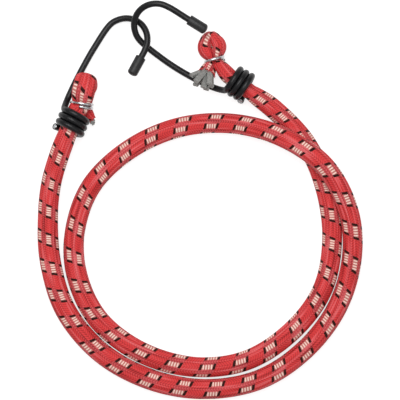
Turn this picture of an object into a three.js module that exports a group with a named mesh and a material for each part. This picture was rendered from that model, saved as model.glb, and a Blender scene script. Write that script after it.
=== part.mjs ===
// Elastic tie-down cord with a wire hook coiled round it near each end.
// It lies on a table in a loose ring of nearly two turns, with its two hooks linked.
// Millimetres. +Z is up from the table, +Y runs from the ring towards the linked hooks,
// and the origin is on the table under the middle of the part.
import * as THREE from 'three';

// Braided cord
const CORD_DIAMETER = 10;
const CORD_SIDES = 10;
const SHEATH_WALL = 0.65;
const CORE_CLEARANCE = 0.4;
const STRIP_GAP = 0.25;

// How far the cord is squeezed, as a share of its free diameter
const COIL_SQUEEZE = 0.82;
const FOLD_SQUEEZE = 0.68;
const NECK_SQUEEZE = 0.42;
const TAIL_SQUEEZE = 0.5;

// Folded ends: distance between the middles of the two strands
const FOLD_SPACING = 8.4;
const NECK_SPACING = 4.5;
const NECK_LENGTH = 4.2;

// Hook wire and its plastic coat
const WIRE_DIAMETER = 2.4;
const WIRE_SIDES = 6;
const COAT_THICKNESS = 0.3;
const COAT_CLEARANCE = 0.1;
const COAT_SIDES = 8;

// Coil that grips the cord
const COIL_TURNS = 3;
const COIL_TURN_GAP = 0.15;
const COIL_CLEARANCE = 0.9;
const COIL_TABLE_GAP = 0.1;

// Hook bent from the same wire
const HOOK_WIDTH = 24.6;
const HOOK_DROOP = 3;
const SHANK_LEAD = 5;
const WIRE_STEPS = 68;

// Soft cap on the hook's tip
const TIP_DIAMETER = 5.4;
const TIP_LENGTH = 10.6;
const TIP_COVER = 8.3;
const TIP_DOME = 1.6;
const TIP_CLEARANCE = 0.12;
const TIP_SIDES = 12;

// Wire ring that clamps the folded end
const RING_WIRE_DIAMETER = 1.6;
const RING_CLEARANCE = 0.55;
const RING_TURNS = 1.25;
const RING_PASS_GAP = 0.2;
const RING_SIDES = 6;
const RING_STEPS = 26;

// Sizes that follow from those above
const COAT_DIAMETER = WIRE_DIAMETER + 2 * (COAT_CLEARANCE + COAT_THICKNESS);
const COIL_RADIUS = (CORD_DIAMETER * COIL_SQUEEZE + COAT_DIAMETER) / 2 + COIL_CLEARANCE;
const COIL_PITCH = COAT_DIAMETER + COIL_TURN_GAP;
const COIL_LENGTH = COIL_TURNS * COIL_PITCH + COAT_DIAMETER;
const CORD_LIE = (CORD_DIAMETER / 2) * Math.cos(Math.PI / CORD_SIDES);
const SOFT = { roughness: 0.85, metalness: 0 };

const vector = (x, y, z) => new THREE.Vector3(x, y, z);
const radians = THREE.MathUtils.degToRad;

// The two ends, each named by the middle of its coil. Angles are in degrees: the cord's heading in
// the coil is counted from +X, and a positive pitch rises outwards. The coil sits askew on the cord,
// turned by skew and lowered outwards by dip. A positive roll lifts the hook's tip, and a positive
// splay turns the shank towards the hook's mouth. The shank leaves the coil standOff past its turns
// and curves out by bow at its middle, and reach is from the middle of the coil to the crown.
const LEFT = {
  x: -65.4,
  y: 39.6,
  heading: 67,
  skew: 0,
  pitch: -4,
  dip: 0,
  roll: 20,
  splay: 4.6,
  standOff: 0.9,
  bow: 0.95,
  reach: 62.4,
  tipLeg: 11.8,
};
const RIGHT = {
  x: 20.2,
  y: 59.5,
  heading: 143,
  skew: 7.5,
  pitch: 6,
  dip: 2.9,
  roll: 23.9,
  splay: 1,
  standOff: 2.2,
  bow: 1.8,
  reach: 63.45,
  tipLeg: 20,
};

// Middle of an end's coil, lifted so that the tilted coil just clears the table
function coilCentre({ x, y, pitch, dip }) {
  const tilt = Math.abs(radians(pitch - dip));
  const outerRadius = COIL_RADIUS + COAT_DIAMETER / 2;
  const lift = outerRadius * Math.cos(tilt) + (COIL_LENGTH / 2) * Math.sin(tilt) + COIL_TABLE_GAP;
  return vector(x, y, lift);
}

function cordAxis({ heading, pitch }) {
  const axis = vector(1, 0, 0);
  axis.applyAxisAngle(vector(0, 1, 0), -radians(pitch));
  return axis.applyAxisAngle(vector(0, 0, 1), radians(heading));
}

// Folded ends. The neck is where the ring clamps the two strands, along points from the neck
// to the bulb, and across points from the strand that runs on to the one that ends in the tail.
const LEFT_FOLD = {
  neck: vector(-60.5, 50.8, 7.4),
  bulb: vector(-59, 57.6, 8.4),
  apex: vector(-58.1, 62.6, 9.2),
  tail: vector(-52.9, 43.4, 3.5),
  along: vector(0.15, 0.989, 0),
  across: vector(0.643, -0.098, -0.76),
};
const RIGHT_FOLD = {
  neck: vector(7.3, 71.8, 7.2),
  bulb: vector(6.2, 78.2, 6.4),
  apex: vector(6, 82.6, 6),
  tail: vector(3.6, 65.2, 10.6),
  along: vector(-0.213, 0.977, 0),
  across: vector(-0.977, -0.213, 0),
};

// Points of a folded end, from the neck round the bulb and back to the tail
function foldPoints({ neck, bulb, apex, tail, along, across }) {
  const strand = (middle, spacing) => middle.clone().addScaledVector(across, spacing / 2);
  const neckEnd = neck.clone().addScaledVector(along, NECK_LENGTH / 2);
  const neckStart = neck.clone().addScaledVector(along, -NECK_LENGTH / 2);
  return [
    { at: strand(neckStart, -NECK_SPACING), width: NECK_SQUEEZE },
    { at: strand(neckEnd, -NECK_SPACING), width: NECK_SQUEEZE },
    { at: strand(bulb, -FOLD_SPACING), width: FOLD_SQUEEZE },
    { at: apex, width: FOLD_SQUEEZE },
    { at: strand(bulb, FOLD_SPACING), width: FOLD_SQUEEZE },
    { at: strand(neckEnd, NECK_SPACING), width: NECK_SQUEEZE },
    { at: strand(neckStart, NECK_SPACING), width: NECK_SQUEEZE },
    { at: tail, width: TAIL_SQUEEZE },
  ];
}

// Cord between the coils, from the left hook round the ring to the right hook: x, y, z
const CORD_RUN = [
  [-71.5, 24.5, 8.6],
  [-76.2, 9, 5.6],
  [-78, -8, 4.9],
  [-76.7, -32, CORD_LIE],
  [-68.8, -56.8, CORD_LIE],
  [-50.6, -78.4, CORD_LIE],
  [-25.6, -92, CORD_LIE],
  [2.6, -97, CORD_LIE],
  [30.8, -92, CORD_LIE],
  [54, -76.6, CORD_LIE],
  [70.5, -54.8, CORD_LIE],
  [77.8, -30, 5.6],
  [76.2, -6.5, 9.6],
  [63.8, 17, 15.2],
  [42, 32.2, 13],
  [16, 39.2, 6],
  [-11.3, 37.1, 4.9],
  [-37, 25.4, CORD_LIE],
  [-56.4, 6.2, CORD_LIE],
  [-64.5, -18.5, CORD_LIE],
  [-62.6, -40.6, CORD_LIE],
  [-51.7, -61.9, CORD_LIE],
  [-29.6, -78.4, CORD_LIE],
  [-2, -85.7, CORD_LIE],
  [24.6, -82, CORD_LIE],
  [47.8, -66.6, CORD_LIE],
  [63, -45.6, CORD_LIE],
  [67.8, -19.5, CORD_LIE],
  [64, 7.2, CORD_LIE],
  [54.3, 29.2, 4.9],
  [37.8, 46.6, 6.6],
];

// Straight stretch of cord through a coil and a little past both its ends, from the outside in
const COIL_MARGIN = 0.8;
const MOUTH_SQUEEZE = 0.7;
function coilPoints(place) {
  const reach = COIL_LENGTH / 2 + COIL_MARGIN;
  return [1, 0.5, -0.5, -1].map((share) => {
    const at = coilCentre(place).addScaledVector(cordAxis(place), share * reach);
    return { at, width: share === 1 ? MOUTH_SQUEEZE : COIL_SQUEEZE };
  });
}

// The whole cord from its left tail to its right tail, each point with the cord's width there
const CORD_POINTS = [
  ...foldPoints(LEFT_FOLD).toReversed(),
  ...coilPoints(LEFT),
  ...CORD_RUN.map((point) => ({ at: vector(...point), width: 1 })),
  ...coilPoints(RIGHT).toReversed(),
  ...foldPoints(RIGHT_FOLD),
];
const CORD_ROUTE = new THREE.CatmullRomCurve3(CORD_POINTS.map((point) => point.at));
const STEPS_BETWEEN_POINTS = 2;

// Cross-sections along the cord. Between the coils they stand upright on the table,
// and past the coils they turn with the fold.
function cordStations() {
  const last = (CORD_POINTS.length - 1) * STEPS_BETWEEN_POINTS;
  const stations = [];
  for (let i = 0; i <= last; i += 1) {
    const before = CORD_POINTS[Math.floor(i / STEPS_BETWEEN_POINTS)];
    const after = CORD_POINTS[Math.ceil(i / STEPS_BETWEEN_POINTS)];
    const share = (i % STEPS_BETWEEN_POINTS) / STEPS_BETWEEN_POINTS;
    const width = THREE.MathUtils.lerp(before.width, after.width, share);
    const centre = CORD_ROUTE.getPoint(i / last);
    const heading = CORD_ROUTE.getTangent(i / last);
    stations.push({ centre, heading, width });
  }
  const foldSteps = foldPoints(LEFT_FOLD).length * STEPS_BETWEEN_POINTS;
  for (let i = foldSteps; i <= last - foldSteps; i += 1) {
    const { heading } = stations[i];
    stations[i].up = vector(0, 0, 1).addScaledVector(heading, -heading.z).normalize();
  }
  const carry = (from, to) => {
    const turn = new THREE.Quaternion().setFromUnitVectors(from.heading, to.heading);
    to.up = from.up.clone().applyQuaternion(turn);
  };
  for (let i = foldSteps; i > 0; i -= 1) {
    carry(stations[i], stations[i - 1]);
    carry(stations[last - i], stations[last - i + 1]);
  }
  for (const station of stations) {
    station.side = station.up.clone().cross(station.heading);
    station.spread = vector(station.width, station.width, 0);
  }
  return stations;
}

function polygon(sides, radius) {
  const corners = [];
  for (let i = 0; i < sides; i += 1) {
    const angle = ((i + 0.5) / sides) * 2 * Math.PI - Math.PI / 2;
    corners.push(new THREE.Vector2(radius * Math.cos(angle), radius * Math.sin(angle)));
  }
  return corners;
}

function hollow(outer, inner) {
  const shape = new THREE.Shape(outer);
  shape.holes.push(new THREE.Path(inner));
  return shape;
}

// A straight extrusion of the outline, laid along the stations. The outline's middle sits
// at the seat, whose distance from the cord's middle follows each station's spread.
function sweep(outline, stations, seat = new THREE.Vector2()) {
  const steps = stations.length - 1;
  const geometry = new THREE.ExtrudeGeometry(outline, { depth: steps, steps, bevelEnabled: false });
  const { position } = geometry.attributes;
  for (let i = 0; i < position.count; i += 1) {
    const { centre, side, up, width, spread } = stations[Math.round(position.getZ(i))];
    const x = seat.x * spread.x + position.getX(i) * width;
    const y = seat.y * spread.y + position.getY(i) * width;
    const point = centre.clone().addScaledVector(side, x).addScaledVector(up, y);
    position.setXYZ(i, point.x, point.y, point.z);
  }
  geometry.computeVertexNormals();
  return geometry;
}

// The rubber strips stand out of the sheath at each tail, fanned sideways, cut to uneven lengths
const TAIL_STEPS = 2;
const LEFT_TAIL = { width: 0.55, spread: vector(0.8, 0.55, 0), shortest: 2.4, longest: 4.2 };
const RIGHT_TAIL = { width: 0.95, spread: vector(1.5, 0.95, 0), shortest: 5, longest: 8.6 };

function tailStations(last, outward, tail, reach) {
  const stations = [];
  for (let i = 1; i <= TAIL_STEPS; i += 1) {
    const share = i / TAIL_STEPS;
    stations.push({
      ...last,
      centre: last.centre.clone().addScaledVector(last.heading, outward * reach * share),
      width: THREE.MathUtils.lerp(last.width, tail.width, share),
      spread: last.spread.clone().lerp(tail.spread, share),
    });
  }
  return stations;
}

// Seven square strips fill the sheath in rows of two, three and two
function stripSeats(pitch) {
  const row = (count, y) => Array.from({ length: count }, (_, i) => (
    new THREE.Vector2((i - (count - 1) / 2) * pitch, y)
  ));
  return [...row(2, -pitch), ...row(3, 0), ...row(2, pitch)];
}

function cordMeshes() {
  const stations = cordStations();
  const outerRadius = CORD_DIAMETER / 2;
  const boreRadius = outerRadius - SHEATH_WALL;
  const sheath = hollow(polygon(CORD_SIDES, outerRadius), polygon(CORD_SIDES, boreRadius));
  const meshes = [mesh('braided_sheath', sweep(sheath, stations), 0xc8363c, SOFT)];

  const coreRadius = boreRadius * Math.cos(Math.PI / CORD_SIDES) - CORE_CLEARANCE;
  const pitch = coreRadius / Math.hypot(1, 1.5);
  const half = (pitch - STRIP_GAP) / 2;
  const square = new THREE.Shape([
    new THREE.Vector2(-half, -half),
    new THREE.Vector2(half, -half),
    new THREE.Vector2(half, half),
    new THREE.Vector2(-half, half),
  ]);
  stripSeats(pitch).forEach((seat, i, seats) => {
    const reach = (tail, order) => (
      THREE.MathUtils.lerp(tail.shortest, tail.longest, ((order * 3) % seats.length) / (seats.length - 1))
    );
    const strip = [
      ...tailStations(stations[0], -1, LEFT_TAIL, reach(LEFT_TAIL, i)).toReversed(),
      ...stations,
      ...tailStations(stations.at(-1), 1, RIGHT_TAIL, reach(RIGHT_TAIL, i + 2)),
    ];
    meshes.push(mesh(`rubber_strip_${i + 1}`, sweep(square, strip, seat), 0x9a9a94, SOFT));
  });
  return meshes;
}

// Hook wire in its own frame: +X outwards along the coil's axis, +Y to the shank's side, +Z up.
// It runs from the cut end round the coil, along the shank and round the crown to the tip.
function hookRoute({ splay, standOff, bow, reach, tipLeg }) {
  const points = [];
  const turnSteps = 12;
  const leave = 0.1;
  for (let i = 0; i <= turnSteps * COIL_TURNS; i += 1) {
    const turn = THREE.MathUtils.lerp(COIL_TURNS, leave, i / (turnSteps * COIL_TURNS));
    const angle = turn * 2 * Math.PI;
    const along = (COIL_TURNS / 2 - turn) * COIL_PITCH;
    points.push(vector(along, COIL_RADIUS * Math.cos(angle), COIL_RADIUS * Math.sin(angle)));
  }
  const shankStart = vector((COIL_TURNS / 2) * COIL_PITCH + SHANK_LEAD, COIL_RADIUS + standOff, 0);
  const bend = HOOK_WIDTH / 2;
  const crownCentre = reach - bend - shankStart.x;
  const place = (along, across) => {
    const point = vector(along, -across, 0);
    point.applyAxisAngle(vector(0, 1, 0), radians(HOOK_DROOP));
    point.applyAxisAngle(vector(0, 0, 1), -radians(splay));
    return point.add(shankStart);
  };
  const shankSteps = 4;
  for (let i = 0; i < shankSteps; i += 1) {
    const share = i / shankSteps;
    points.push(place(crownCentre * share, -bow * 4 * share * (1 - share)));
  }
  const crownSteps = 8;
  for (let i = 1; i <= crownSteps; i += 1) {
    const angle = (i / crownSteps) * Math.PI;
    points.push(place(crownCentre + bend * Math.sin(angle), bend * (1 - Math.cos(angle))));
  }
  points.push(place(crownCentre - tipLeg / 2, HOOK_WIDTH));
  points.push(place(crownCentre - tipLeg, HOOK_WIDTH));
  return new THREE.CatmullRomCurve3(points);
}

// Cap with a blind hole, turned about +Y with its mouth at the bottom
function tipGeometry() {
  const outer = TIP_DIAMETER / 2;
  const bore = COAT_DIAMETER / 2 + TIP_CLEARANCE;
  const profile = [
    new THREE.Vector2(0, TIP_COVER),
    new THREE.Vector2(bore, TIP_COVER),
    new THREE.Vector2(bore, 0),
    new THREE.Vector2(outer, 0),
  ];
  const domeSteps = 4;
  for (let i = 0; i <= domeSteps; i += 1) {
    const angle = (i / domeSteps) * (Math.PI / 2);
    const radius = i === domeSteps ? 0 : outer * Math.cos(angle);
    profile.push(new THREE.Vector2(radius, TIP_LENGTH - TIP_DOME + TIP_DOME * Math.sin(angle)));
  }
  return new THREE.LatheGeometry(profile, TIP_SIDES);
}

function tube(outline, path, steps) {
  return new THREE.ExtrudeGeometry(outline, { steps, bevelEnabled: false, extrudePath: path });
}

function hook(name, place) {
  const route = hookRoute(place);
  const wire = new THREE.Shape(polygon(WIRE_SIDES, WIRE_DIAMETER / 2));
  const bore = polygon(WIRE_SIDES, WIRE_DIAMETER / 2 + COAT_CLEARANCE);
  const coat = hollow(polygon(COAT_SIDES, COAT_DIAMETER / 2), bore);
  const tip = mesh(`${name}_hook_tip`, tipGeometry(), 0x1c1c1e, { roughness: 0.45, metalness: 0 });
  const tipHeading = route.getTangent(1);
  tip.position.copy(route.getPoint(1)).addScaledVector(tipHeading, TIP_CLEARANCE - TIP_COVER);
  tip.quaternion.setFromUnitVectors(vector(0, 1, 0), tipHeading);
  const group = new THREE.Group();
  group.add(
    mesh(`${name}_hook_wire`, tube(wire, route, WIRE_STEPS), 0x9ea2a6, { roughness: 0.35, metalness: 1 }),
    mesh(`${name}_hook_coat`, tube(coat, route, WIRE_STEPS), 0x18181a, { roughness: 0.4, metalness: 0 }),
    tip,
  );
  group.position.copy(coilCentre(place));
  const turns = [-place.roll, place.dip - place.pitch, place.heading + place.skew].map(radians);
  group.rotation.set(...turns, 'ZYX');
  return group;
}

// Ring of wire bent round the two strands of a neck, its ends lying side by side
function hogRing(name, { neck, along, across }) {
  const clear = (NECK_SQUEEZE * CORD_DIAMETER) / 2 + RING_CLEARANCE + RING_WIRE_DIAMETER / 2;
  const long = NECK_SPACING / 2 + clear;
  const pass = RING_WIRE_DIAMETER + RING_PASS_GAP;
  const points = [];
  const turnSteps = 16;
  for (let i = 0; i <= turnSteps * RING_TURNS; i += 1) {
    const turn = i / turnSteps;
    const angle = (turn + 0.5) * 2 * Math.PI;
    points.push(vector(long * Math.cos(angle), clear * Math.sin(angle), (turn - RING_TURNS / 2) * pass));
  }
  const path = new THREE.CatmullRomCurve3(points);
  const section = new THREE.Shape(polygon(RING_SIDES, RING_WIRE_DIAMETER / 2));
  const ring = mesh(name, tube(section, path, RING_STEPS), 0xc4c6c8, { roughness: 0.3, metalness: 1 });
  const basis = new THREE.Matrix4().makeBasis(across, along.clone().cross(across), along);
  ring.quaternion.setFromRotationMatrix(basis);
  ring.position.copy(neck);
  return ring;
}

function mesh(name, geometry, color, finish) {
  const item = new THREE.Mesh(geometry, new THREE.MeshStandardMaterial({ color, ...finish }));
  item.name = name;
  return item;
}

const bungeeCord = new THREE.Group();
bungeeCord.add(
  ...cordMeshes(),
  hook('left', LEFT),
  hook('right', RIGHT),
  hogRing('left_hog_ring', LEFT_FOLD),
  hogRing('right_hog_ring', RIGHT_FOLD),
);

export default bungeeCord;
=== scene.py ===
import math

import bpy
import numpy as np
from mathutils import Matrix, Vector


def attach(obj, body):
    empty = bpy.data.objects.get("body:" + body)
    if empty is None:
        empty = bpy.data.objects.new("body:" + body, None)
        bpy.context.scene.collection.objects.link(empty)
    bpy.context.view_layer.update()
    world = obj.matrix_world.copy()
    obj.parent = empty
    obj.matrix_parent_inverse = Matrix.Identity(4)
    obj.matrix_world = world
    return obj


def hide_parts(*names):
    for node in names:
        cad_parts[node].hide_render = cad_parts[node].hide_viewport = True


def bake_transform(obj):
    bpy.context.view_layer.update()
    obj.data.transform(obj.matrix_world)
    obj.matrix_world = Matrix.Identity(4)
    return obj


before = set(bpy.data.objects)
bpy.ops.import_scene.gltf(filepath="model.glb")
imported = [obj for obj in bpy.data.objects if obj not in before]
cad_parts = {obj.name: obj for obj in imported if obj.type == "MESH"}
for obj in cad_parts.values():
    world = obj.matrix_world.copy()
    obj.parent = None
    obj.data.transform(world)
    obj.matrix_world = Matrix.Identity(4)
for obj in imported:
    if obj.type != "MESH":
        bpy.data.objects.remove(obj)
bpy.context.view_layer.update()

MM = 0.001
scene = bpy.context.scene
scene.view_settings.view_transform = "Standard"

# Camera: straight down on the table, with a long lens
PHOTO_WIDTH = 0.2052
LENS = 300.0
SENSOR = 36.0
MIDDLE_HEIGHT = 0.005
CAMERA_REACH = 20.0
camera_data = bpy.data.cameras.new("camera")
camera_data.lens = LENS
camera_data.sensor_width = SENSOR
camera_data.clip_end = CAMERA_REACH
camera = bpy.data.objects.new("camera", camera_data)
camera.location = (0, 0, MIDDLE_HEIGHT + PHOTO_WIDTH * LENS / SENSOR)
scene.collection.objects.link(camera)
scene.camera = camera

# Sizes in millimetres, the same as in the part's source
CORD_DIAMETER = 10.0
CORD_SIDES = 10
CORD_LIE = CORD_DIAMETER / 2 * math.cos(math.pi / CORD_SIDES)
COIL_SQUEEZE = 0.82
WIRE_DIAMETER = 2.4
COAT_DIAMETER = 3.2
COIL_TURNS = 3
COIL_TURN_GAP = 0.15
COIL_CLEARANCE = 0.9
COIL_TABLE_GAP = 0.1
COIL_PITCH = COAT_DIAMETER + COIL_TURN_GAP
COIL_RADIUS = (CORD_DIAMETER * COIL_SQUEEZE + COAT_DIAMETER) / 2 + COIL_CLEARANCE
COIL_LENGTH = COIL_TURNS * COIL_PITCH + COAT_DIAMETER
COIL_MARGIN = 0.8
HOOK_WIDTH = 24.6
HOOK_DROOP = 3.0
SHANK_LEAD = 5.0
TIP_DIAMETER = 5.4
TIP_LENGTH = 10.6
TIP_COVER = 8.3
TIP_DOME = 1.6
TIP_CLEARANCE = 0.12
RING_WIRE_DIAMETER = 1.6
RING_TURNS = 1.25
RING_PASS_GAP = 0.2

# The soft cord fills the coils and the rings, and the strands of a fold press against each other.
# Sizes are shares of the free diameter, sideways and upwards. The two rounds of the cord press
# together left of a corner and below it.
FREE = (1.035, 1.0)
PRESSED = (1.09, 0.98)
PRESSED_CORNER = (-15, -25)
SNUG = (0.98, 0.98)
NECK_LENGTH = 1.8

# The two ends, each placed by the middle of its coil. The cord's heading in the coil is counted
# from +X, and its pitch rises outwards. The coil sits askew on the cord by skew and dip, roll lifts
# the hook's tip, and splay turns the shank towards the hook's mouth. The shank leaves the coil
# stand_off past its turns and curves out by bow. Reach is from the coil to the crown, leg is the
# straight part before the tip, and fill is the cord's size through the coil, from outside in.
COIL_SHARES = (1, 0.5, -0.5, -1)
LEFT = dict(
    x=-65.4,
    y=39.6,
    heading=67,
    skew=0,
    pitch=-4,
    dip=0,
    roll=20,
    splay=4.6,
    stand_off=0.9,
    bow=0.95,
    reach=62.4,
    leg=11.8,
    fill=(SNUG, SNUG, SNUG, SNUG),
)
RIGHT = dict(
    x=20.2,
    y=59.5,
    heading=143,
    skew=7.5,
    pitch=6,
    dip=2.9,
    roll=23.9,
    splay=1,
    stand_off=2.2,
    bow=1.8,
    reach=63.45,
    leg=20,
    fill=((0.84, 0.92), (0.82, 0.92), (0.8, 0.91), (0.8, 0.92)),
)

# The folded ends. The ring clamps the neck, the cord turns back in the bulb, and the tail hangs
# out of the neck. Gaps are between the two strands, and ring_half is half the ring's opening.
LEFT_FOLD = dict(
    neck=(-60.6, 48.6, 7.4),
    bulb=(-59.1, 55.9, 8.4),
    apex=(-58.2, 62.6, 8.8),
    tail=(-55.6, 41.6, 2.9),
    along=(0.19, 0.982, 0),
    across=(0.17, -0.03, -0.985),
    neck_gap=4.0,
    bulb_gap=6.6,
    shoulder_rise=3.4,
    shoulder_gap=5.2,
    neck_size=(0.92, 0.4),
    run_size=(1.15, 0.8),
    shoulder_size=(1.15, 0.72),
    apex_size=(1.05, 0.5),
    back_size=(0.98, 0.66),
    tail_size=(0.42, 0.4),
    ring_half=(4.8, 5.4),
)
RIGHT_FOLD = dict(
    neck=(7.3, 71.8, 7.2),
    bulb=(6.2, 78.2, 6.4),
    apex=(5.7, 85, 6),
    tail=(3.6, 65.2, 10.6),
    along=(-0.213, 0.977, 0),
    across=(-0.977, -0.213, 0),
    neck_gap=3.3,
    bulb_gap=7.1,
    shoulder_rise=3.8,
    shoulder_gap=4.9,
    neck_size=(0.36, 0.6),
    run_size=(0.78, 0.94),
    shoulder_size=(0.64, 0.85),
    apex_size=(0.26, 0.7),
    back_size=(0.78, 0.94),
    tail_size=(0.85, 0.62),
    ring_half=(4.7, 4.6),
)

# Middle line of the cord between the coils, from the left hook round the ring to the right hook
CORD_RUN = [
    (-71.5, 24.5, 8.6),
    (-76.2, 9, 5.6),
    (-78, -8, 4.9),
    (-76.7, -32, CORD_LIE),
    (-68.8, -56.8, CORD_LIE),
    (-50.6, -78.4, CORD_LIE),
    (-25.6, -92, CORD_LIE),
    (2.6, -97, CORD_LIE),
    (30.8, -92, CORD_LIE),
    (54, -76.6, CORD_LIE),
    (70.5, -54.8, CORD_LIE),
    (77.8, -30, 5.6),
    (76.2, -6.5, 9.6),
    (63.8, 17, 15.2),
    (42, 32.2, 13),
    (16, 39.2, 6),
    (-11.3, 37.1, 4.9),
    (-37, 25.4, CORD_LIE),
    (-56.4, 6.2, CORD_LIE),
    (-64.5, -18.5, CORD_LIE),
    (-62.6, -40.6, CORD_LIE),
    (-51.7, -61.9, CORD_LIE),
    (-29.6, -78.4, CORD_LIE),
    (-2, -85.7, CORD_LIE),
    (24.6, -82, CORD_LIE),
    (47.8, -66.6, CORD_LIE),
    (63, -45.6, CORD_LIE),
    (67.8, -19.5, CORD_LIE),
    (64, 7.2, CORD_LIE),
    (54.3, 29.2, 4.9),
    (37.8, 46.6, 6.6),
]


def array(values):
    return np.array(values, float)


def unit(vector):
    return vector / np.linalg.norm(vector)


def turned(vector, axis, degrees):
    rotation = Matrix.Rotation(math.radians(degrees), 3, Vector(axis))
    return array(rotation @ Vector(vector))


def coil_centre(place):
    tilt = abs(math.radians(place["pitch"] - place["dip"]))
    outer = COIL_RADIUS + COAT_DIAMETER / 2
    lift = outer * math.cos(tilt) + COIL_LENGTH / 2 * math.sin(tilt) + COIL_TABLE_GAP
    return array((place["x"], place["y"], lift))


def cord_axis(place):
    axis = turned((1, 0, 0), (0, 1, 0), -place["pitch"])
    return turned(axis, (0, 0, 1), place["heading"])


def coil_points(place):
    reach = COIL_LENGTH / 2 + COIL_MARGIN
    middle, axis = coil_centre(place), cord_axis(place)
    sized = zip(COIL_SHARES, place["fill"])
    return [(middle + axis * reach * share, size) for share, size in sized]


def fold_points(fold):
    neck, along, across = array(fold["neck"]), array(fold["along"]), array(fold["across"])
    bulb = array(fold["bulb"])
    neck_end = neck + along * NECK_LENGTH / 2
    neck_start = neck - along * NECK_LENGTH / 2
    shoulder = bulb + along * fold["shoulder_rise"]
    pinch = across * fold["neck_gap"] / 2
    bulge = across * fold["bulb_gap"] / 2
    round_off = across * fold["shoulder_gap"] / 2
    return [
        (neck_start - pinch, fold["neck_size"]),
        (neck_end - pinch, fold["neck_size"]),
        (bulb - bulge, fold["run_size"]),
        (shoulder - round_off, fold["shoulder_size"]),
        (array(fold["apex"]), fold["apex_size"]),
        (shoulder + round_off, fold["shoulder_size"]),
        (bulb + bulge, fold["back_size"]),
        (neck_end + pinch, fold["neck_size"]),
        (neck_start + pinch, fold["neck_size"]),
        (array(fold["tail"]), fold["tail_size"]),
    ]


def run_size(point):
    x, y = PRESSED_CORNER
    return PRESSED if point[0] < x and point[1] < y else FREE


def smooth_route(points, per_step):
    """Centripetal Catmull-Rom curve through points, with per_step samples between neighbours."""
    points = array(points)
    padded = np.vstack([2 * points[0] - points[1], points, 2 * points[-1] - points[-2]])
    samples = []
    shares = []
    for i in range(len(points) - 1):
        p0, p1, p2, p3 = padded[i : i + 4]
        d0, d1, d2 = (math.sqrt(np.linalg.norm(b - a)) for a, b in ((p0, p1), (p1, p2), (p2, p3)))
        t1 = ((p1 - p0) / d0 - (p2 - p0) / (d0 + d1) + (p2 - p1) / d1) * d1
        t2 = ((p2 - p1) / d1 - (p3 - p1) / (d1 + d2) + (p3 - p2) / d2) * d1
        steps = np.linspace(0, 1, per_step, endpoint=False)
        if i == len(points) - 2:
            steps = np.linspace(0, 1, per_step + 1)
        for t in steps:
            a = 2 * p1 - 2 * p2 + t1 + t2
            b = -3 * p1 + 3 * p2 - 2 * t1 - t2
            samples.append(((a * t + b) * t + t1) * t + p1)
            shares.append(i + t)
    return array(samples), array(shares)


def evenly(points, shares, spacing):
    """The same line with points a spacing apart, and each point's share."""
    lengths = np.concatenate([[0], np.cumsum(np.linalg.norm(np.diff(points, axis=0), axis=1))])
    count = max(2, round(lengths[-1] / spacing))
    at = np.linspace(0, lengths[-1], count + 1)
    line = np.stack([np.interp(at, lengths, points[:, k]) for k in range(3)], axis=1)
    return line, np.interp(at, lengths, shares), at


def directions(line):
    heading = np.gradient(line, axis=0)
    return heading / np.linalg.norm(heading, axis=1)[:, None]


def carried(line, first_up):
    """Up and side vectors carried along a line without twist."""
    heading = directions(line)
    up = unit(first_up - heading[0] * (first_up @ heading[0]))
    ups = [up]
    for a, b in zip(heading[:-1], heading[1:]):
        turn = Vector(a).rotation_difference(Vector(b))
        up = array(turn @ Vector(up))
        up = unit(up - b * (up @ b))
        ups.append(up)
    ups = array(ups)
    return ups, np.cross(heading, ups)


def closed_skin(rings, count, base=0):
    """Faces round a row of rings with count points each, and over the first and the last ring."""
    faces = []
    for i in range(rings - 1):
        near = base + i * count
        far = near + count
        for k in range(count):
            after = (k + 1) % count
            faces.append((near + k, near + after, far + after, far + k))
    end = base + (rings - 1) * count
    faces.append(tuple(range(base, base + count))[::-1])
    faces.append(tuple(range(end, end + count)))
    return faces


def tube(name, line, ups, sides, radii, count, twist=None, along=None):
    """Mesh tube round a line. Its UV map holds the way along it and the turn round it."""
    rings = len(line)
    angles = np.arange(count) / count * 2 * math.pi
    radii = np.broadcast_to(radii, (rings, count))
    offsets = (
        np.sin(angles)[None, :, None] * sides[:, None, :]
        + np.cos(angles)[None, :, None] * ups[:, None, :]
    )
    verts = (line[:, None, :] + offsets * radii[:, :, None]).reshape(-1, 3)
    uvs = []
    along = np.zeros(rings) if along is None else along
    twist = np.zeros(rings) if twist is None else twist
    for i in range(rings - 1):
        for k in range(count):
            low, high = k / count, (k + 1) / count
            uvs += [
                (along[i], low + twist[i]),
                (along[i], high + twist[i]),
                (along[i + 1], high + twist[i + 1]),
                (along[i + 1], low + twist[i + 1]),
            ]
    for ring in (0, -1):
        uvs += [(along[ring], twist[ring])] * count
    return solid(name, verts, closed_skin(rings, count), uvs)


def solid(name, verts, faces, uvs=None, smooth=True):
    mesh = bpy.data.meshes.new(name)
    mesh.from_pydata((array(verts) * MM).tolist(), [], [tuple(f) for f in faces])
    if uvs is not None:
        layer = mesh.uv_layers.new(name="lay")
        layer.data.foreach_set("uv", array(uvs).ravel())
    mesh.polygons.foreach_set("use_smooth", [smooth] * len(mesh.polygons))
    mesh.update()
    made = bpy.data.objects.new(name, mesh)
    scene.collection.objects.link(made)
    return made


# Materials
def shader(name, color, roughness, metallic=0.0):
    material = bpy.data.materials.new(name)
    material.use_nodes = True
    surface = material.node_tree.nodes["Principled BSDF"]
    surface.inputs["Base Color"].default_value = (*color, 1)
    surface.inputs["Roughness"].default_value = roughness
    surface.inputs["Metallic"].default_value = metallic
    return material, surface


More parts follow.
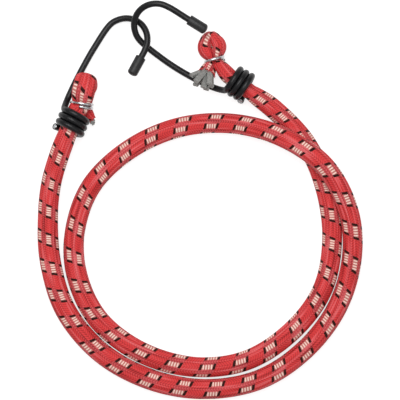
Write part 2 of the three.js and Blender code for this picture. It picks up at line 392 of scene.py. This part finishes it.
class Graph:
    """Short names for a material's node arithmetic."""

    def __init__(self, material):
        self.tree = material.node_tree

    def node(self, kind):
        return self.tree.nodes.new(kind)

    def plug(self, value, socket):
        if isinstance(value, bpy.types.NodeSocket):
            self.tree.links.new(value, socket)
        else:
            socket.default_value = value

    def math(self, operation, *values):
        node = self.node("ShaderNodeMath")
        node.operation = operation
        for value, socket in zip(values, node.inputs):
            self.plug(value, socket)
        return node.outputs[0]

    def ramp(self, value, low, high):
        """0 at low, 1 at high and smooth between."""
        node = self.node("ShaderNodeMapRange")
        node.interpolation_type = "SMOOTHSTEP"
        self.plug(value, node.inputs["Value"])
        node.inputs["From Min"].default_value = low
        node.inputs["From Max"].default_value = high
        return node.outputs["Result"]

    def mix(self, share, first, second):
        node = self.node("ShaderNodeMix")
        node.data_type = "RGBA"
        self.plug(share, node.inputs[0])
        for color, socket in ((first, node.inputs[6]), (second, node.inputs[7])):
            linked = isinstance(color, bpy.types.NodeSocket)
            self.plug(color if linked else (*color, 1), socket)
        return node.outputs[2]

    def noise(self, vector, scale, detail):
        node = self.node("ShaderNodeTexNoise")
        node.inputs["Scale"].default_value = scale
        node.inputs["Detail"].default_value = detail
        self.plug(vector, node.inputs["Vector"])
        return node.outputs["Fac"]

    def relief(self, surface, height, strength, distance):
        """Bump on a surface, with a distance in metres."""
        node = self.node("ShaderNodeBump")
        node.inputs["Strength"].default_value = strength
        node.inputs["Distance"].default_value = distance
        self.plug(height, node.inputs["Height"])
        self.plug(node.outputs["Normal"], surface.inputs["Normal"])


# Braid: rows of tracer blocks along the cord, each a black bar, some light strokes and a black bar.
# Lengths are in millimetres along the cord, and widths are shares of a row's half width.
TRACER_ROWS = 6
ROW_ARC = math.pi * CORD_DIAMETER / TRACER_ROWS
BLOCK_PERIOD = 16.0
BLOCK_LENGTH = 7.75
BAR_LENGTH = 1.3
BAR_WIDTH = 0.6
BAR_EDGE = 0.08
BAR_SLANT = 0.36
STROKES = 4
STROKE_PITCH = (BLOCK_LENGTH - 2 * BAR_LENGTH) / STROKES
STROKE_WIDTH = 0.44
STROKE_EDGE = 0.14
STROKE_SLANT = 0.12
STROKE_FADE = (0.31, 0.13)

# Ribs meet in chevrons along each row, with a groove and a line of stitches between the rows. The
# ribs' low sides and the groove get painted shade, the stitches painted highlights.
RIB_PITCH = STROKE_PITCH
CHEVRON = 1.3
GROOVE = (0.66, 0.8)
STITCHES = (0.8, 0.92)
RIB_SHADE = 0.4
RIB_DEPTH = 0.6
GROOVE_SHADE = 0.3
GROOVE_DEPTH = 0.5
STITCH_SHINE = 0.25
BRAID_RELIEF = 0.45
BRAID_RELIEF_HEIGHT = 0.00025

# Streaks of painted shade and painted highlight run along the yarns, and pale bands join the blocks
# of neighbouring rows
STREAK_ALONG = 0.7
STREAK_ROUND = 22.0
STREAK_DETAIL = 2.0
# Painted shade along the darker streaks and painted highlights along the brighter ones
STREAK_SHADE_EDGES = (0.5, 0.25)
STREAK_SHADE_SHARE = 0.5
STREAK_HIGHLIGHT_EDGES = (0.5, 0.7)
STREAK_HIGHLIGHT_SHARE = 0.6
BAND_SHARE = 0.6

RED = (0.72, 0.050, 0.052)
# Colour of the painted shade in the ribs, grooves and streaks
PAINTED_SHADE_RED = (0.18, 0.006, 0.007)
BAND_PINK = (0.54, 0.10, 0.11)
# Colour of the painted highlights on the stitches and streaks
PAINTED_HIGHLIGHT_PINK = (0.80, 0.17, 0.18)
LIGHT_YARN = (0.92, 0.65, 0.56)
PINK_YARN = (0.50, 0.18, 0.155)
BLACK_YARN = (0.026, 0.004, 0.002)
YARN_ROUGHNESS = 0.62
YARN_GLOSS = 0.14
YARN_SHEEN = 0.03
YARN_SHEEN_ROUGHNESS = 0.5
YARN_SHEEN_TINT = (1.0, 0.45, 0.45, 1)


def braid_material():
    material, surface = shader("red_braid_look", RED, YARN_ROUGHNESS)
    g = Graph(material)
    lay = g.node("ShaderNodeUVMap")
    lay.uv_map = "lay"
    split = g.node("ShaderNodeSeparateXYZ")
    g.plug(lay.outputs["UV"], split.inputs[0])
    blocks, turn = split.outputs[0], split.outputs[1]
    rows = g.math("MULTIPLY", turn, float(TRACER_ROWS))
    row = g.math("FLOOR", rows)
    off = g.math("SUBTRACT", g.math("FRACT", rows), 0.5)
    from_middle = g.math("MULTIPLY", g.math("ABSOLUTE", off), 2.0)
    shifted = g.math("ADD", blocks, g.math("DIVIDE", row, float(TRACER_ROWS)))

    def along_block(slant):
        """Distance past the start of the nearest block, with lines that lean by a slant."""
        lean = g.math("MULTIPLY", off, slant * ROW_ARC / BLOCK_PERIOD)
        centred = g.math("ADD", g.math("ADD", shifted, lean), BLOCK_LENGTH / BLOCK_PERIOD / 2)
        return g.math("MULTIPLY", g.math("FRACT", centred), BLOCK_PERIOD)

    # Blocks
    place = along_block(BAR_SLANT)
    block = g.math("LESS_THAN", place, BLOCK_LENGTH)
    first_bar = g.math("LESS_THAN", place, BAR_LENGTH)
    last_bar = g.math("GREATER_THAN", place, BLOCK_LENGTH - BAR_LENGTH)
    either_bar = g.math("MULTIPLY", block, g.math("MAXIMUM", first_bar, last_bar))
    bar_width = g.ramp(from_middle, BAR_WIDTH + BAR_EDGE, BAR_WIDTH - BAR_EDGE)
    bar = g.math("MULTIPLY", either_bar, bar_width)
    stroke_width = g.ramp(from_middle, STROKE_WIDTH + STROKE_EDGE, STROKE_WIDTH - STROKE_EDGE)
    in_block = g.math("MULTIPLY", block, stroke_width)
    past_bar = g.math("SUBTRACT", along_block(STROKE_SLANT), BAR_LENGTH)
    stroke = g.math("FRACT", g.math("DIVIDE", past_bar, STROKE_PITCH))
    light = g.ramp(g.math("ABSOLUTE", g.math("SUBTRACT", stroke, 0.5)), *STROKE_FADE)

    # Ribs and grooves with painted shade, and stitches with painted highlights
    ribs = g.math("MULTIPLY", blocks, BLOCK_PERIOD / RIB_PITCH)
    rib_place = g.math("ADD", ribs, g.math("MULTIPLY", from_middle, CHEVRON))
    rib = g.math("SINE", g.math("MULTIPLY", rib_place, 2 * math.pi))
    rib_low = g.math("SUBTRACT", 0.5, g.math("MULTIPLY", rib, 0.5))
    stitches = g.ramp(from_middle, *STITCHES)
    groove = g.math("MULTIPLY", g.ramp(from_middle, *GROOVE), g.math("SUBTRACT", 1.0, stitches))
    # Painted shade on the low side of each rib and in the groove between the rows
    rib_shade = g.math("MULTIPLY", rib_low, RIB_SHADE)
    shade = g.math("ADD", rib_shade, g.math("MULTIPLY", groove, GROOVE_SHADE))
    # Painted highlights on the stitches between the rows
    stitch_highlights = g.math("MULTIPLY", stitches, g.math("SUBTRACT", 1.0, rib_low))

    # Streaks of painted shade and painted highlight, and bands
    streak_place = g.node("ShaderNodeCombineXYZ")
    g.plug(g.math("MULTIPLY", blocks, STREAK_ALONG), streak_place.inputs[0])
    g.plug(g.math("MULTIPLY", turn, STREAK_ROUND), streak_place.inputs[1])
    streaks = g.noise(streak_place.outputs[0], 1.0, STREAK_DETAIL)
    # Painted shade where the streak noise is low, painted highlights where it is high
    streak_shade = g.math("MULTIPLY", g.ramp(streaks, *STREAK_SHADE_EDGES), STREAK_SHADE_SHARE)
    streak_highlights = g.math("MULTIPLY", g.ramp(streaks, *STREAK_HIGHLIGHT_EDGES), STREAK_HIGHLIGHT_SHARE)
    band_slant = BLOCK_PERIOD / TRACER_ROWS / ROW_ARC
    band = g.math("LESS_THAN", along_block(band_slant), BLOCK_LENGTH)

    red = g.mix(g.math("MULTIPLY", band, BAND_SHARE), RED, BAND_PINK)
    # Painted shade from the ribs, grooves and streaks
    red = g.mix(g.math("ADD", shade, streak_shade), red, PAINTED_SHADE_RED)
    # Painted highlights on the stitches and streaks
    red = g.mix(g.math("ADD", g.math("MULTIPLY", stitch_highlights, STITCH_SHINE), streak_highlights), red, PAINTED_HIGHLIGHT_PINK)
    color = g.mix(in_block, red, g.mix(light, PINK_YARN, LIGHT_YARN))
    g.plug(g.mix(bar, color, BLACK_YARN), surface.inputs["Base Color"])

    rib_height = g.math("MULTIPLY", rib_low, -RIB_DEPTH)
    height = g.math("SUBTRACT", rib_height, g.math("MULTIPLY", groove, GROOVE_DEPTH))
    g.relief(surface, height, BRAID_RELIEF, BRAID_RELIEF_HEIGHT)
    surface.inputs["Sheen Weight"].default_value = YARN_SHEEN
    surface.inputs["Sheen Roughness"].default_value = YARN_SHEEN_ROUGHNESS
    surface.inputs["Sheen Tint"].default_value = YARN_SHEEN_TINT
    surface.inputs["Specular IOR Level"].default_value = YARN_GLOSS
    return material


GRAIN_DETAIL = 4.0
GRAIN_CONTRAST = (0.35, 0.65)
GRAIN_RELIEF = 0.08
GRAIN_RELIEF_HEIGHT = 0.0002


def grained(name, colors, roughness, scale, metallic=0.0, gloss=0.5):
    """Plain finish with a faint grain between two colours and in relief."""
    material, surface = shader(name, colors[0], roughness, metallic)
    g = Graph(material)
    position = g.node("ShaderNodeTexCoord").outputs["Object"]
    grain = g.noise(position, scale, GRAIN_DETAIL)
    g.plug(g.mix(g.ramp(grain, *GRAIN_CONTRAST), *colors), surface.inputs["Base Color"])
    g.relief(surface, grain, GRAIN_RELIEF, GRAIN_RELIEF_HEIGHT)
    surface.inputs["Specular IOR Level"].default_value = gloss
    return material


BLACK_COATS = (0.004, 0.004, 0.005), (0.008, 0.008, 0.009)
BLACK_CAPS = (0.012, 0.012, 0.013), (0.020, 0.020, 0.021)
HOOK_STEELS = (0.55, 0.56, 0.57), (0.42, 0.43, 0.44)
RING_STEELS = (0.60, 0.60, 0.61), (0.46, 0.46, 0.47)
GREY_RUBBERS = (0.30, 0.30, 0.285), (0.20, 0.20, 0.19)
BRAID = braid_material()
COAT = grained("black_coat_look", BLACK_COATS, roughness=0.36, scale=900.0, gloss=0.3)
CAP = grained("black_cap_look", BLACK_CAPS, roughness=0.45, scale=700.0, gloss=0.34)
STEEL = grained("hook_steel_look", HOOK_STEELS, roughness=0.32, scale=1500.0, metallic=1.0)
ZINC = grained("ring_steel_look", RING_STEELS, roughness=0.26, scale=900.0, metallic=1.0)
RUBBER = grained("grey_rubber_look", GREY_RUBBERS, roughness=0.7, scale=1200.0)


def dress(piece, material):
    piece.data.materials.append(material)
    return piece


# Cord from its left tail to its right tail. The run between the middles of the two coils has rings
# of points twice as far apart as the folded ends.
CORD_COUNT = 60
CORD_SAMPLES = 40
END_SPACING = 0.4
RUN_STEP = 2
whole = (
    fold_points(LEFT_FOLD)[::-1]
    + coil_points(LEFT)
    + [(array(point), run_size(point)) for point in CORD_RUN]
    + coil_points(RIGHT)[::-1]
    + fold_points(RIGHT_FOLD)
)
whole_line, whole_shares = smooth_route([point for point, _ in whole], CORD_SAMPLES)
line, shares, distance = evenly(whole_line, whole_shares, END_SPACING)


def bulging(shares, sizes):
    """Sizes along the cord. Beside a pinch the cord bulges out to its full size at once."""
    before = np.minimum(shares.astype(int), len(sizes) - 2)
    share = (shares - before)[:, None]
    start, stop = sizes[before], sizes[before + 1]
    eased = np.where(stop < start, share**2, 1 - (1 - share) ** 2)
    return start + (stop - start) * eased


sizes = bulging(shares, array([size for _, size in whole]))
FOLD_COUNT = len(fold_points(LEFT_FOLD))
LEFT_COIL_SHARE = FOLD_COUNT + (len(COIL_SHARES) - 1) / 2
RIGHT_COIL_SHARE = len(whole) - 1 - LEFT_COIL_SHARE
first = int(np.searchsorted(shares, LEFT_COIL_SHARE))
last = int(np.searchsorted(shares, RIGHT_COIL_SHARE))

heading = directions(line)
ups = array((0, 0, 1)) - heading * heading[:, 2:3]
ups /= np.linalg.norm(ups, axis=1)[:, None]
ups[last:] = carried(line[last:], ups[last])[0]
ups[: first + 1] = carried(line[: first + 1][::-1], ups[first])[0][::-1]
sides = np.cross(heading, ups)

# Lay of the braid: millimetres along the cord from the middle of the left coil, tracer blocks
# passed in one row, and degrees by which that row lies left of the top. The braid is stretched
# a little in the middle of the cord.
LAY = [
    (-55, -3.6, 2),
    (-16, -1, 2),
    (4, 0, 6),
    (62, 4, 6),
    (107, 7, 22),
    (192, 12, 31),
    (244, 15, 26),
    (331, 20, 46),
    (380, 23, 27),
    (445, 27, 13),
    (477, 29, 29),
    (524, 32, 33),
    (571, 35, 53),
    (641, 39, 67),
    (692, 42, 72),
    (737, 45, 55),
    (809, 50, 64),
    (838, 51.8, 60),
    (855, 52.8, 60),
    (877, 54, 60),
]
lay_places, lay_blocks, lay_degrees = zip(*LAY)
from_coil = distance - distance[first]
blocks = np.interp(from_coil, lay_places, lay_blocks)
twist = np.interp(from_coil, lay_places, lay_degrees) / 360 + 0.5 / TRACER_ROWS

SEAM_DIP = 0.014
SEAM_SHARPNESS = 6


def cord_radii(sizes):
    """Radii of the cord's oval rings, dipping a little between the columns of its braid."""
    turns = np.arange(CORD_COUNT) / CORD_COUNT
    sideways = np.sin(turns * 2 * math.pi) / sizes[:, :1]
    upwards = np.cos(turns * 2 * math.pi) / sizes[:, 1:]
    dip = np.abs(np.cos(turns * 2 * math.pi * TRACER_ROWS)) ** SEAM_SHARPNESS
    return CORD_DIAMETER / 2 / np.hypot(sideways, upwards) * (1 - SEAM_DIP * dip)


def cord_stretch(name, chosen):
    piece = tube(
        name,
        line[chosen],
        ups[chosen],
        sides[chosen],
        cord_radii(sizes[chosen]),
        CORD_COUNT,
        twist[chosen],
        blocks[chosen],
    )
    return dress(piece, BRAID)


# The cord stretches between these places, and its ends are attached to the body of the ends
run = [*range(first, last, RUN_STEP), last]
cord = cord_stretch("cord_run", run)
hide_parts("braided_sheath")
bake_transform(cord)
left_end = cord_stretch("left_cord_end", slice(first + 1))
right_end = cord_stretch("right_cord_end", slice(last, None))
for piece in (left_end, right_end):
    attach(piece, "ends")

# Rubber strips in the tails. They leave the sheath along aim, from seats that mouth spreads, and
# half is half their width and thickness. They fan out and twist by degrees, and are cut at reach,
# with a slant across the tail and ragged differences.
STRIP_PITCH = 2.0
STRIP_STEPS = 6
STRIP_SINK = 0.1
STRIP_CORNERS = [(-1, -1), (-1, 1), (1, 1), (1, -1)]
SEATS = [(-0.5, -1), (0.5, -1), (-1, 0), (0, 0), (1, 0), (-0.5, 1), (0.5, 1)]
LEAN_UNEVEN = 0.3
LEAN_PACE = 3.7
TWIST_PACE = 1.9
CUT_PACE = 2.4
LEFT_TAIL = dict(
    aim=(0.35, -0.93, 0),
    mouth=(0.4, 0.4),
    half=(0.44, 0.44),
    fan=8,
    twist=0,
    reach=2.5,
    slant=0,
    ragged=0.8,
)
RIGHT_TAIL = dict(
    aim=(-0.34, -0.74, 0.76),
    mouth=(1.0, 0.8),
    half=(1.35, 0.75),
    fan=27,
    twist=24,
    reach=9.6,
    slant=1.0,
    ragged=1.9,
)


def uneven(usual, change, number, pace):
    return usual + change * math.sin(number * pace)


def strips(name, end, tail):
    """Flat strips that leave the sheath's end and fan out, cut to ragged lengths."""
    verts, faces = [], []
    heading = unit(array(tail["aim"]))
    side = unit(np.cross(heading, (0, 0, 1)))
    up = np.cross(side, heading)
    half_across, half_up = tail["half"]
    for number, (seat_across, seat_up) in enumerate(SEATS):
        lean = -tail["fan"] * uneven(seat_across, LEAN_UNEVEN, number, LEAN_PACE)
        twist = uneven(0, tail["twist"], number, TWIST_PACE)
        way = turned(heading, up, lean)
        across = turned(turned(side, up, lean), way, twist) * half_across
        rise = turned(up, way, twist) * half_up
        root = end + side * seat_across * STRIP_PITCH * tail["mouth"][0]
        root = root + up * seat_up * STRIP_PITCH * tail["mouth"][1]
        slanted = tail["reach"] - tail["slant"] * seat_across
        reach = uneven(slanted, tail["ragged"], number, CUT_PACE)
        faces += closed_skin(STRIP_STEPS + 1, len(STRIP_CORNERS), len(verts))
        for share in np.linspace(-STRIP_SINK, 1, STRIP_STEPS + 1):
            middle = root + way * reach * share
            verts += [middle + across * a + rise * b for a, b in STRIP_CORNERS]
    return dress(solid(name, verts, faces, smooth=False), RUBBER)


left_strips = strips("left_tail_strips", line[0], LEFT_TAIL)
right_strips = strips("right_tail_strips", line[-1], RIGHT_TAIL)
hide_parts(*[f"rubber_strip_{i}" for i in range(1, len(SEATS) + 1)])
for piece in (left_strips, right_strips):
    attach(piece, "ends")

# Loose yarn ends round the cut mouth of the sheath. They start a little inside it, sag outwards and
# taper, and their lay is a place between the blocks, where the braid is plain red.
YARN_STEPS = 4
YARN_SIDES = 5
YARN_SEAT = 0.94
YARN_SINK = 0.2
YARN_SAG = 0.3
YARN_ROOT = 0.34
YARN_TAPER = 0.22
YARN_REACH = (0.7, 0.3)
YARN_LEAN = (0.5, 0.3)
YARN_LEAN_PACE = 1.7
PLAIN_LAY = (0.5, 0.25 / TRACER_ROWS)


def yarn_ends(name, mouth, heading, up, size, count, longest):
    """Tapered yarns that stand on an oval mouth and bend outwards."""
    side = np.cross(heading, up)
    verts, faces = [], []
    for number in range(count):
        angle = number / count * 2 * math.pi
        radial = size[0] * math.sin(angle) * side + size[1] * math.cos(angle) * up
        reach = longest * uneven(*YARN_REACH, number, CUT_PACE)
        lean = uneven(*YARN_LEAN, number, YARN_LEAN_PACE)
        faces += closed_skin(YARN_STEPS + 1, YARN_SIDES, len(verts))
        for step in range(YARN_STEPS + 1):
            share = step / YARN_STEPS
            out = YARN_SEAT * CORD_DIAMETER / 2 + lean * reach * share**2
            onward = reach * (share * (1 - YARN_SAG * share) - YARN_SINK)
            middle = mouth + radial * out + heading * onward
            thick = YARN_ROOT - YARN_TAPER * share
            for k in range(YARN_SIDES):
                turn = k / YARN_SIDES * 2 * math.pi
                verts.append(middle + thick * (math.cos(turn) * up + math.sin(turn) * side))
    uvs = [PLAIN_LAY] * sum(len(face) for face in faces)
    return dress(solid(name, verts, faces, uvs), BRAID)


left_fray = yarn_ends(
    "left_sheath_fray", line[0], -heading[0], ups[0], sizes[0], count=14, longest=1.2
)
right_fray = yarn_ends(
    "right_sheath_fray", line[-1], heading[-1], ups[-1], sizes[-1], count=30, longest=3.2
)
for piece in (left_fray, right_fray):
    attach(piece, "ends")

# Hooks, with the cut end of the wire standing a little off the cord, its steel a little proud of
# the coat, and the coat swollen a little past the part's solid
COIL_STEPS = 12
COIL_LEAVE = 0.1
SHANK_STEPS = 4
CROWN_STEPS = 8
CUT_END_FLARE = 1.5
CUT_END_STEPS = 3
COAT_SWELL = 0.07
STEEL_PROUD = 0.08
STEEL_RINGS = 6
WIRE_SAMPLES = 24
WIRE_SPACING = 0.6
WIRE_SIDES = 20
WIRE_UP = (0.1, 0.2, 1)

# Cap on the tip: the lip of its mouth in (step in from the outside, height), and its rounded end
CAP_BORE_GAP = 0.02
CAP_BORE_DEPTH = 0.25
CAP_LIP = [(0.35, 0.0), (0.1, 0.1), (0.0, 0.35)]
CAP_DOME_TURN = 1.5
CAP_DOME_STEPS = 10
CAP_SIDES = 28
OFF_AXIS = (0.3, 0.2, 0.9)


def hook_points(place):
    """Points along a hook's wire, from the cut end round the coil, the shank and the crown."""
    points = []
    coil_steps = COIL_STEPS * COIL_TURNS
    for i in range(coil_steps + 1):
        turn = COIL_TURNS + (COIL_LEAVE - COIL_TURNS) * i / coil_steps
        angle = turn * 2 * math.pi
        radius = COIL_RADIUS + CUT_END_FLARE * max(0, 1 - i / CUT_END_STEPS) ** 2
        along = (COIL_TURNS / 2 - turn) * COIL_PITCH
        points.append((along, radius * math.cos(angle), radius * math.sin(angle)))
    lead = COIL_TURNS / 2 * COIL_PITCH + SHANK_LEAD
    start = array((lead, COIL_RADIUS + place["stand_off"], 0))
    bend = HOOK_WIDTH / 2
    crown = place["reach"] - bend - lead

    def lay(along, across):
        point = turned((along, -across, 0), (0, 1, 0), HOOK_DROOP)
        return turned(point, (0, 0, 1), -place["splay"]) + start

    for i in range(SHANK_STEPS):
        share = i / SHANK_STEPS
        points.append(lay(crown * share, -place["bow"] * 4 * share * (1 - share)))
    for i in range(1, CROWN_STEPS + 1):
        angle = i / CROWN_STEPS * math.pi
        points.append(lay(crown + bend * math.sin(angle), bend * (1 - math.cos(angle))))
    points.append(lay(crown - place["leg"] / 2, HOOK_WIDTH))
    points.append(lay(crown - place["leg"], HOOK_WIDTH))
    rotation = (
        Matrix.Rotation(math.radians(place["heading"] + place["skew"]), 3, "Z")
        @ Matrix.Rotation(math.radians(place["dip"] - place["pitch"]), 3, "Y")
        @ Matrix.Rotation(-math.radians(place["roll"]), 3, "X")
    )
    return [array(rotation @ Vector(point)) + coil_centre(place) for point in points]


def lathe(name, profile, count, start, axis):
    """Turned solid: (radius, height) profile about an axis from a start point."""
    axis = unit(axis)
    across = unit(np.cross(axis, OFF_AXIS))
    other = np.cross(axis, across)
    verts = []
    for radius, height in profile:
        for k in range(count):
            angle = k / count * 2 * math.pi
            offset = math.cos(angle) * across + math.sin(angle) * other
            verts.append(start + axis * height + radius * offset)
    return solid(name, verts, closed_skin(len(profile), count))


def hook(side, place):
    body = f"{side}_hook"
    route, route_shares = smooth_route(hook_points(place), WIRE_SAMPLES)
    wire_line, _, _ = evenly(route, route_shares, WIRE_SPACING)
    wire_ups, wire_sides = carried(wire_line, array(WIRE_UP))
    coat_radius = COAT_DIAMETER / 2 + COAT_SWELL
    coat = tube(
        f"{side}_hook_coating", wire_line, wire_ups, wire_sides, coat_radius, WIRE_SIDES
    )
    dress(coat, COAT)
    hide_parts(f"{side}_hook_coat")
    cut_face = wire_line[0] - unit(wire_line[1] - wire_line[0]) * STEEL_PROUD
    wire = tube(
        f"{side}_hook_steel",
        np.vstack([cut_face, wire_line[1:STEEL_RINGS]]),
        wire_ups[:STEEL_RINGS],
        wire_sides[:STEEL_RINGS],
        WIRE_DIAMETER / 2,
        WIRE_SIDES,
    )
    dress(wire, STEEL)
    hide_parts(f"{side}_hook_wire")
    tip_axis = unit(wire_line[-1] - wire_line[-3])
    outer = TIP_DIAMETER / 2
    profile = [(coat_radius + CAP_BORE_GAP, CAP_BORE_DEPTH)]
    profile += [(outer - step_in, height) for step_in, height in CAP_LIP]
    profile += [
        (outer * math.cos(a), TIP_LENGTH - TIP_DOME + TIP_DOME * math.sin(a))
        for a in np.linspace(0, CAP_DOME_TURN, CAP_DOME_STEPS)
    ]
    start = wire_line[-1] + tip_axis * (TIP_CLEARANCE - TIP_COVER)
    cap = lathe(f"{side}_hook_cap", profile, CAP_SIDES, start, tip_axis)
    dress(cap, CAP)
    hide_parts(f"{side}_hook_tip")
    for piece in (coat, wire, cap):
        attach(piece, body)
    return coat, wire, cap


hook("left", LEFT)
right_hook = hook("right", RIGHT)


# Rings of wire that clamp the folded ends
RING_STEPS = 64
RING_SIDES = 16
RING_START = 0.5


def hog_ring(side, fold):
    neck, along, across = array(fold["neck"]), array(fold["along"]), array(fold["across"])
    half_across, half_up = fold["ring_half"]
    pass_step = RING_WIRE_DIAMETER + RING_PASS_GAP
    up = np.cross(along, across)
    points = []
    for i in range(int(RING_STEPS * RING_TURNS) + 1):
        turn = i / RING_STEPS
        angle = (turn + RING_START) * 2 * math.pi
        points.append(
            neck
            + across * half_across * math.cos(angle)
            + up * half_up * math.sin(angle)
            + along * (turn - RING_TURNS / 2) * pass_step
        )
    ring_line = array(points)
    ring_ups, ring_sides = carried(ring_line, along)
    radius = RING_WIRE_DIAMETER / 2
    ring = tube(f"{side}_clamp_ring", ring_line, ring_ups, ring_sides, radius, RING_SIDES)
    dress(ring, ZINC)
    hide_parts(f"{side}_hog_ring")
    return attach(ring, "ends")


hog_ring("left", LEFT_FOLD)
right_ring = hog_ring("right", RIGHT_FOLD)

# Table that glows a little where it is seen, so that it stays white with soft shadows on it
TABLE_SIZE = 6.0
TABLE_DROP = 0.0002
TABLE_WHITE = (0.85, 0.85, 0.85)
TABLE_SEEN = (0.40, 0.40, 0.40)
TABLE_GLOW = 0.79
TABLE_ROUGHNESS = 0.9
bpy.ops.mesh.primitive_plane_add(size=TABLE_SIZE, location=(0, 0, -TABLE_DROP))
table = bpy.context.object
table.name = "table"
table_material, table_surface = shader("table_look", TABLE_WHITE, TABLE_ROUGHNESS)
table_surface.inputs["Specular IOR Level"].default_value = 0.0
table_graph = Graph(table_material)
glow = table_graph.node("ShaderNodeEmission")
glow.inputs["Color"].default_value = (1, 1, 1, 1)
rays = table_graph.node("ShaderNodeLightPath").outputs
mirrored = table_graph.math("MAXIMUM", rays["Is Glossy Ray"], rays["Is Transmission Ray"])
seen = table_graph.math("MAXIMUM", rays["Is Camera Ray"], mirrored)
table_color = table_graph.mix(seen, TABLE_WHITE, TABLE_SEEN)
table_graph.plug(table_color, table_surface.inputs["Base Color"])
table_graph.plug(table_graph.math("MULTIPLY", seen, TABLE_GLOW), glow.inputs["Strength"])
both = table_graph.node("ShaderNodeAddShader")
table_graph.plug(table_surface.outputs[0], both.inputs[0])
table_graph.plug(glow.outputs[0], both.inputs[1])
table_graph.plug(both.outputs[0], table_graph.tree.nodes["Material Output"].inputs["Surface"])
table.data.materials.append(table_material)

# Soft light from all round, a key light and a weaker fill light
WORLD_LIGHT = 0.42
world = bpy.data.worlds.new("studio")
world.use_nodes = True
background = world.node_tree.nodes["Background"]
background.inputs["Color"].default_value = (1, 1, 1, 1)
background.inputs["Strength"].default_value = WORLD_LIGHT
scene.world = world


def area_light(name, location, size, power):
    data = bpy.data.lights.new(name, "AREA")
    data.size = size
    data.energy = power
    made = bpy.data.objects.new(name, data)
    made.location = location
    made.rotation_euler = (-Vector(location)).to_track_quat("-Z", "Y").to_euler()
    scene.collection.objects.link(made)


area_light("key", location=(-0.15, 0.35, 0.9), size=0.7, power=7.2)
area_light("fill", location=(0.6, -0.4, 0.8), size=0.8, power=1.5)
